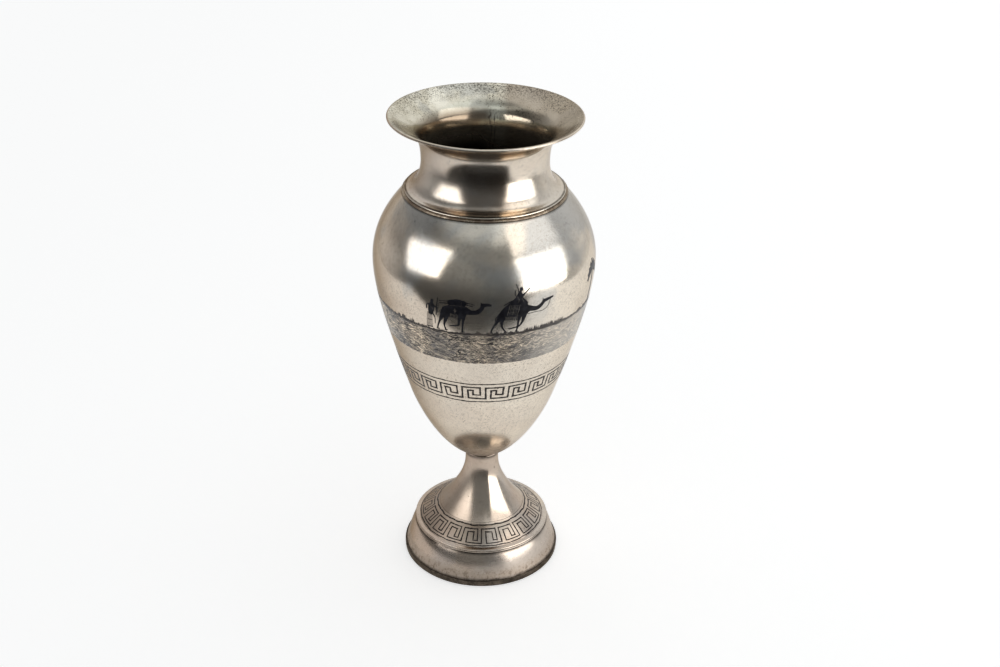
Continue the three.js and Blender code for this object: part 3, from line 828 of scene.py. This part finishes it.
def filled(node, middle, x, y, distance):
    """A closed slab of niello where the distance is below zero, cut along the zero line in the grid."""
    # An edge exactly through a grid point would leave flat slivers.
    distance = np.where(np.abs(distance) < least_distance, -least_distance, distance)
    flat, index = [], {}

    def point(i, j, p, q):
        key = (i, j, p, q)
        if key not in index:
            a, b = distance[i, j], distance[p, q]
            t = 0.0 if (i, j) == (p, q) else a / (a - b)
            index[key] = len(flat)
            flat.append((x[i] + t * (x[p] - x[i]), y[j] + t * (y[q] - y[j])))
        return index[key]

    tops, cuts = [], []
    covered = distance < 0
    any_in = covered[:-1, :-1] | covered[1:, :-1] | covered[:-1, 1:] | covered[1:, 1:]
    for i, j in zip(*np.nonzero(any_in)):
        ring = [(i, j), (i + 1, j), (i + 1, j + 1), (i, j + 1)]
        polygon, on_edge = [], []
        for (a, b), (c, d) in zip(ring, ring[1:] + ring[:1]):
            if covered[a, b]:
                polygon.append(point(a, b, a, b))
                on_edge.append(False)
            if covered[a, b] != covered[c, d]:
                polygon.append(point(*min((a, b), (c, d)), *max((a, b), (c, d))))
                on_edge.append(True)
        tops.append(polygon)
        for k, start in enumerate(polygon):
            after = (k + 1) % len(polygon)
            if on_edge[k] and on_edge[after]:
                cuts.append((start, polygon[after]))
    flat = np.array(flat)
    angles = middle + flat[:, 0] / np.interp(figure_middle, body_outline[:, 1], body_outline[:, 0])
    levels = figure_foot + flat[:, 1]
    count = len(flat)
    points = np.vstack([place(body_outline, angles, levels, lift) for lift in (proud, -let_in)])
    faces = tops + [[corner + count for corner in reversed(face)] for face in tops]
    faces += [(b, a, a + count, b + count) for a, b in cuts]
    return piece(node, points, faces, [black])


def hooves(*spans):
    return [[(start, 0.3, 0.3), (end, 0.3, 0.3)] for start, end in spans]


loaded = dict(flesh=[
    [(-9.2, 12, 1.5), (-6.2, 12.6, 2.4), (-2.2, 12.6, 2.7), (0.6, 12.6, 2)],
    [(-9.2, 11.6, 1.8), (-10.8, 8.4, 1.15), (-12.2, 5.2, 0.6), (-13.2, 2.6, 0.42), (-13.7, 0.6, 0.38)],
    [(-8.2, 10.6, 1.6), (-9.1, 6.8, 0.95), (-10, 3.4, 0.46), (-9.4, 0.6, 0.38)],
    [(0, 11.2, 1.4), (-0.4, 6.6, 0.62), (-0.8, 3.4, 0.44), (-0.9, 0.5, 0.4)],
    [(-1.6, 10.6, 1.2), (-2.6, 5.8, 0.58)],
    [(0.8, 12.6, 1.9), (3.6, 11.8, 1.25), (6.4, 12.2, 1.15), (8.2, 13.8, 1.05), (8.9, 15.2, 0.9)],
    [(8.9, 15.8, 0.95), (10.6, 16.1, 0.8), (12.5, 15.9, 0.55)],
    [(-6.4, 16.1, 1.5), (-3.4, 16.6, 1.6), (-0.2, 16.2, 1.5)],
], fine=[
    [(-2.6, 5.8, 0.55), (-3.1, 3.9, 0.46), (-7.1, 3, 0.32)],
    [(-12.2, 16.2, 0.2), (-6.6, 16.8, 0.26)],
    [(-12.2, 15, 0.2), (-6.8, 15.7, 0.26)],
    [(0.8, 16.9, 0.26), (4.9, 16, 0.15)],
    [(0.8, 15.8, 0.22), (4.5, 15, 0.14)],
    [(8.5, 16.4, 0.36), (8.1, 17.3, 0.15)],
    [(-10.4, 12.4, 0.32), (-11.5, 10.4, 0.22), (-11.6, 8.6, 0.32)],
    *[[(-6.9 + 0.72 * k, 9.8, 0.2), (-7.0 + 0.72 * k, 7.9, 0.17)] for k in range(6)],
    *hooves((-14.1, -12.9), (-9.8, -8.6), (-1.4, -0.1)),
], openings=[
    [(-4.3, 13.4, 0.16), (-4.2, 12, 0.2), (-4.4, 10.6, 0.14)],
    [(-5.4, 12.2, 0.1), (-3.2, 12, 0.1)],
    [(-6.8, 14.6, 0.08), (-3, 14.8, 0.08), (0.4, 14.4, 0.08)],
    [(-1, 17.2, 0.07), (-1.4, 15.2, 0.07)],
])

ridden = dict(flesh=[
    [(-2.6, 14.4, 2.4), (-5.4, 12.2, 2.2), (-7.8, 9.8, 1.5)],
    [(-7.9, 9.6, 1.4), (-9.6, 6.4, 0.72), (-11.2, 3.8, 0.48), (-12.1, 1.6, 0.42), (-12.2, 0.5, 0.38)],
    [(-6.6, 10, 1.5), (-7.2, 6.2, 0.78), (-7.1, 3.6, 0.48), (-5.2, 0.5, 0.38)],
    [(0.4, 14, 2.6), (3, 12.6, 2.4), (4.6, 11.2, 1.5)],
    [(1.8, 10.4, 1.2), (0.9, 5.8, 0.58), (0.8, 2.9, 0.44), (0.2, 0.5, 0.38)],
    [(4, 10.2, 1.3), (3.1, 5.6, 0.6)],
    [(4.6, 12.8, 1.9), (7.6, 12.1, 1.35), (10.2, 11.8, 1.15), (12.3, 12.9, 1), (13.6, 14.3, 0.85)],
    [(13.9, 14.8, 0.95), (15.8, 15.2, 0.82), (18.9, 15.9, 0.45)],
    [(-2, 15.8, 1.6), (0.8, 17.2, 2.2), (3.6, 15.4, 1.7)],
    [(0.9, 18.6, 1.7), (1.3, 21, 1)],
    [(2, 22.7, 0.78), (2.1, 23.2, 0.74)],
], fine=[
    [(3.1, 5.6, 0.55), (1.6, 3.4, 0.46), (-1.3, 2.5, 0.36), (-3.8, 2.2, 0.3)],
    [(-0.3, 25.4, 0.24), (1, 21, 0.26)],
    [(6.3, 22.9, 0.26), (2.4, 19.4, 0.28)],
    [(-0.7, 22.8, 0.2), (-1.2, 21, 0.2), (-0.3, 19.2, 0.26)],
    [(-6.4, 15.6, 0.2), (-2.6, 17.6, 0.3)],
    [(1.2, 20.8, 0.6), (3.2, 20, 0.36)],
    [(13.5, 15.4, 0.34), (13.2, 16.4, 0.14)],
    [(17.8, 15.4, 0.14), (16.2, 11.4, 0.14), (13.4, 9.8, 0.14), (9.4, 9.8, 0.14), (5.4, 9.5, 0.14)],
    [(-9, 10.2, 0.3), (-10.3, 8.6, 0.2), (-10.4, 7.2, 0.28)],
    *[[(-5.7 + 0.96 * k, 9.0 - 0.1 * k, 0.26), (-5.8 + 0.96 * k, 7.5 - 0.1 * k, 0.24)]
      for k in range(7)],
    *hooves((-12.7, -11.5), (-5.7, -4.5), (-0.3, 0.9)),
], plates=[[(-6.1, 8.9), (0.9, 8.2), (2.1, 15.2), (-3.6, 16)]], openings=[
    [(-5.9, 9.2, 0.15), (0.5, 8.55, 0.15)],
    [(-4.7, 10, 0.16), (-3.5, 15.6, 0.16)],
    [(0.2, 9.4, 0.16), (1.3, 14.8, 0.16)],
    [(-3.9, 10.1, 0.08), (-2.8, 15.3, 0.08)],
    [(-0.6, 9.7, 0.08), (0.5, 14.8, 0.08)],
    [(-2.3, 10, 0.08), (-1.2, 15, 0.08)],
    *[[(-3.7 + 0.15 * k, 10.8 + 0.72 * k, 0.09), (-0.5 + 0.15 * k, 10.5 + 0.72 * k, 0.09)]
      for k in range(7)],
    [(0.1, 19.8, 0.1), (0.8, 17.6, 0.1), (0.3, 16.4, 0.1)],
    [(2.2, 18.6, 0.08), (3.2, 16.6, 0.08)],
])

man = dict(flesh=[
    [(0.5, 8.6, 1.2), (0.9, 10.6, 1.6), (1.2, 12.6, 1.5), (1.3, 13.8, 0.9)],
    [(1.5, 15.1, 0.8), (1.6, 15.6, 0.76)],
    [(1.8, 13, 0.6), (3.4, 12.4, 0.45), (4, 11.8, 0.34)],
], fine=[
    [(4.5, 17.4, 0.24), (3.4, 8.2, 0.24)],
    [(4.9, 14.6, 0.14), (4.2, 9.6, 0.14)],
    [(-0.3, 13.2, 0.4), (-1.4, 12.6, 0.3), (-1.5, 10.6, 0.28)],
    [(1.6, 8.4, 0.5), (2.7, 6.2, 0.24), (2.6, 3, 0.18)],
    *[[(-1.3 + 0.62 * k, 8.6, 0.13), (-2.1 + 0.7 * k, 0.5, 0.14)] for k in range(5)],
    [(-2.3, 0.45, 0.26), (0.9, 0.45, 0.26)],
    [(-1.8, 4.4, 0.1), (0.9, 4.6, 0.1)],
], openings=[[(0.1, 12.8, 0.09), (1.9, 10.6, 0.09)]])

resting = dict(flesh=[
    [(-8.6, 11.2, 1.6), (-5.6, 12.3, 2.2), (-1.8, 12.2, 2.5), (1.6, 11.8, 1.8)],
    [(-6, 13.2, 1.6), (-4.2, 15.6, 1.3), (-2.2, 13.6, 1.6)],
    [(-8.4, 11, 1.6), (-9.6, 6.6, 0.6), (-10.4, 3, 0.4), (-10.2, 0.5, 0.36)],
    [(-7.4, 10.4, 1.3), (-7.6, 6.2, 0.6), (-6.6, 3, 0.4), (-6.2, 0.5, 0.36)],
    [(1, 11, 1.2), (1.6, 6, 0.52), (2.6, 0.5, 0.38)],
    [(0, 10.6, 1.1), (-0.8, 5.6, 0.5), (-0.4, 0.5, 0.38)],
    [(2, 11.8, 1.7), (5.2, 10.4, 1.1), (7.6, 11.6, 0.95), (9.2, 14.4, 0.8), (9.8, 17, 0.75)],
    [(9.6, 17.4, 0.78), (11.6, 17.2, 0.72), (13.8, 16.6, 0.42)],
], fine=[
    [(-10, 11.8, 0.3), (-10.9, 9.6, 0.2), (-10.7, 7.8, 0.3)],
    [(9.5, 17.8, 0.35), (9.1, 18.7, 0.14)],
    *hooves((-10.7, -9.4), (-6.7, -5.4), (2.1, 3.4), (-0.9, 0.4)),
], openings=[[(-7.6, 14, 0.09), (-4.2, 13.4, 0.09), (-0.6, 14, 0.09)]])


def palm(height, lean, fronds):
    """A date palm: a ringed trunk that leans, and feathered fronds that rise from its top and bend down."""
    reach, lift, shoulder, sag, widest_turn, leaflet = 6.6, 5.6, 2.2, 4.6, 100, 0.9
    trunk = [(0, 0.3, 1.0), (0.3 * lean, 0.4 * height, 0.72), (lean, height, 0.62)]
    ribs = []
    for side in np.linspace(-1, 1, fronds):
        turn = math.radians(widest_turn * side)
        out, rise = math.sin(turn), math.cos(turn)
        ribs.append([
            (lean + reach * out * t, height + (lift * rise + shoulder * abs(out)) * t - sag * abs(out) * t**2,
             0.4 - 0.3 * t)
            for t in (0, 0.35, 0.7, 1)
        ])
    leaflets = []
    for rib in ribs:
        line = curved(rib, 7)[3:]
        for before, here in zip(line, line[1:]):
            along = (here - before)[:2] / np.linalg.norm((here - before)[:2])
            for turn in (1, -1):
                tip = here[:2] + 0.5 * along + turn * leaflet * np.array([-along[1], along[0]]) + (0, -0.35)
                leaflets.append([(*here[:2], 0.14), (*tip, 0.07)])
    rings = [[(0.9 * lean * t - 1.1, height * t + 0.3, 0.07), (0.9 * lean * t + 1.1, height * t, 0.07)]
             for t in np.linspace(0.08, 0.9, 10)]
    return dict(flesh=[trunk], fine=ribs + leaflets, openings=rings)


# Each figure with its place round the vase
figure("herdsman", -27.5, **man)
figure("loaded_camel", -9.6, **loaded)
figure("ridden_camel", 16.5, **ridden)
figure("date_palm", 71, **palm(17, 1.2, 9))
figure("back_palm", 150, **palm(15, -1, 9))
figure("back_camel", 186, **resting)


# Studio: a white table in a pale room, and soft boxes whose shapes show in the metal


def card(name, corners, material):
    mesh = bpy.data.meshes.new(name)
    mesh.from_pydata(corners, [], [tuple(range(len(corners)))])
    mesh.materials.append(material)
    made = linked(name, mesh)
    return made


def mirrored_only(made):
    """The metal reflects the card, and nothing else shows or feels it."""
    made.visible_camera = False
    made.visible_diffuse = False
    made.visible_shadow = False


def table_white():
    """Matt white that glows a little, more to the right."""
    material, s = surface("table_white")
    position, across, _, _ = s.where()
    color = s.mix(s.noise(position, 3), (0.84, 0.84, 0.84, 1), (0.85, 0.85, 0.85, 1))
    matt(s, color, (1, 1, 1, 1), s.ramp(across, -0.5, 0.5, 0.52, 0.58))
    return material


# The metal reflects the table, which ends in front of the vase. Everything else shows a wider floor.
white = table_white()
table_edge = [(-0.52, -0.150), (0.17, -0.178), (0.33, -0.36), (0.60, -0.30), (0.60, 1.3), (-0.52, 1.3)]
mirrored_only(card("table", [(x, y, 0) for x, y in table_edge], white))
floor_corners = [(-4, -4), (4, -4), (4, 4), (-4, 4)]
floor = card("floor", [(x, y, -0.0001) for x, y in floor_corners], white)
floor.visible_glossy = False


def soft_box(name, azimuth, distance, corners, radiance):
    """A glowing upright card that faces the vase and shows only in the metal.

    Its azimuth is in degrees from the front. Its corners are metres to the side, seen from the vase's axis,
    and metres above the table.
    """
    material, s = surface(name)
    matt(s, (0, 0, 0, 1), (1, 0.985, 0.96, 1), radiance)
    angle = math.radians(azimuth)
    out = (math.sin(angle), -math.cos(angle))
    side = (math.cos(angle), math.sin(angle))
    places = [(distance * out[0] + x * side[0], distance * out[1] + x * side[1], z) for x, z in corners]
    mirrored_only(card(name, places, material))


soft_box("left_box", -65, 0.40, [(-0.171, 0.351), (0.239, 0.478), (0.16, 0.187), (-0.077, 0.164)], 3.1)
soft_box("right_box", 62, 0.65, [(-0.376, 0.555), (0.32, 0.404), (0.29, 0.0125), (-0.283, 0.002)], 3.7)
soft_box("high_box", 62, 0.80, [(-0.44, 1.5), (0.62, 1.25), (0.46, 0.53), (-0.45, 0.70)], 1.7)

sun = bpy.data.lights.new("sky_light", "SUN")
sun.energy = 0.6
sun.angle = math.radians(120)
overhead = linked("sky_light", sun)
overhead.rotation_euler = (math.radians(8), math.radians(6), 0)
overhead.visible_glossy = False

# The room by direction: dark in front, with pale places high up, pale behind, and dark at the far left
world = bpy.data.worlds.new("studio")
world.use_nodes = True
bpy.context.scene.world = world
w = Shading(world.node_tree)
toward = w.add("ShaderNodeSeparateXYZ", {"Vector": w.add("ShaderNodeTexCoord").outputs["Generated"]}).outputs
to_right, to_back, up = toward["X"], toward["Y"], toward["Z"]
low_front = w.ramp(up, -0.45, 0.3, 0.025, 0.23)
high_right = w.times(w.ramp(up, 0.62, 0.78), w.ramp(to_right, 0.03, 0.2, 0.0, 0.8))
high_left = w.times(w.ramp(up, 0.66, 0.8, 0.0, 0.5), w.ramp(up, 0.82, 0.94, 1.0, 0.1))
front = w.plus(low_front, w.math("MAXIMUM", high_left, high_right))
back = w.ramp(up, -0.7, 0.6, 0.75, 0.95)
behind = w.ramp(to_back, -0.35, 0.75)
side = w.mix(behind, w.mix(1.0, front, (0.93, 0.985, 1.0, 1), "MULTIPLY"), back)
left_wall = w.times(w.ramp(to_right, -0.5, -0.8), w.ramp(up, -0.1, 0.2, 0.0, 0.54))
side = w.mix(left_wall, side, (0, 0, 0, 1))
behind_above = w.times(w.ramp(up, 0.5, 0.8), w.ramp(to_back, -0.02, 0.25, 0.0, 0.9))
side = w.mix(behind_above, side, (1, 1, 1, 1))
room = w.mix(1.0, side, (0.985, 0.99, 0.99, 1), "MULTIPLY")

# Dull surfaces get half of the room's light, so that the vase's shade on the floor is faint.
rays = w.add("ShaderNodeLightPath").outputs
seen = w.mix(rays["Is Diffuse Ray"], room, w.mix(1.0, room, (0.5, 0.5, 0.5, 1), "MULTIPLY"))
seen = w.mix(rays["Is Camera Ray"], seen, (0.96, 0.96, 0.96, 1))
background = w.add("ShaderNodeBackground", {"Color": seen, "Strength": 1.0})
w.add("ShaderNodeOutputWorld", {"Surface": background.outputs["Background"]})

# Camera, in front and above, where the photographer stood
image_width = 1000
focal_pixels = 1450
sensor_width = 36
camera_distance, camera_height = 659.4, 487.0
look_down, look_right, roll_left = 28.36, 0.75, 1.02

lens = bpy.data.cameras.new("camera")
lens.sensor_width = sensor_width
lens.lens = sensor_width * focal_pixels / image_width
lens.clip_start = 0.01
lens.clip_end = 100
camera = linked("camera", lens)
camera.matrix_world = (
    Matrix.Translation((0, -camera_distance * mm, camera_height * mm))
    @ Matrix.Rotation(math.radians(-look_right), 4, "Z")
    @ Matrix.Rotation(math.radians(90 - look_down), 4, "X")
    @ Matrix.Rotation(math.radians(roll_left), 4, "Z")
)
bpy.context.scene.camera = camera
bpy.context.scene.view_settings.view_transform = "Standard"
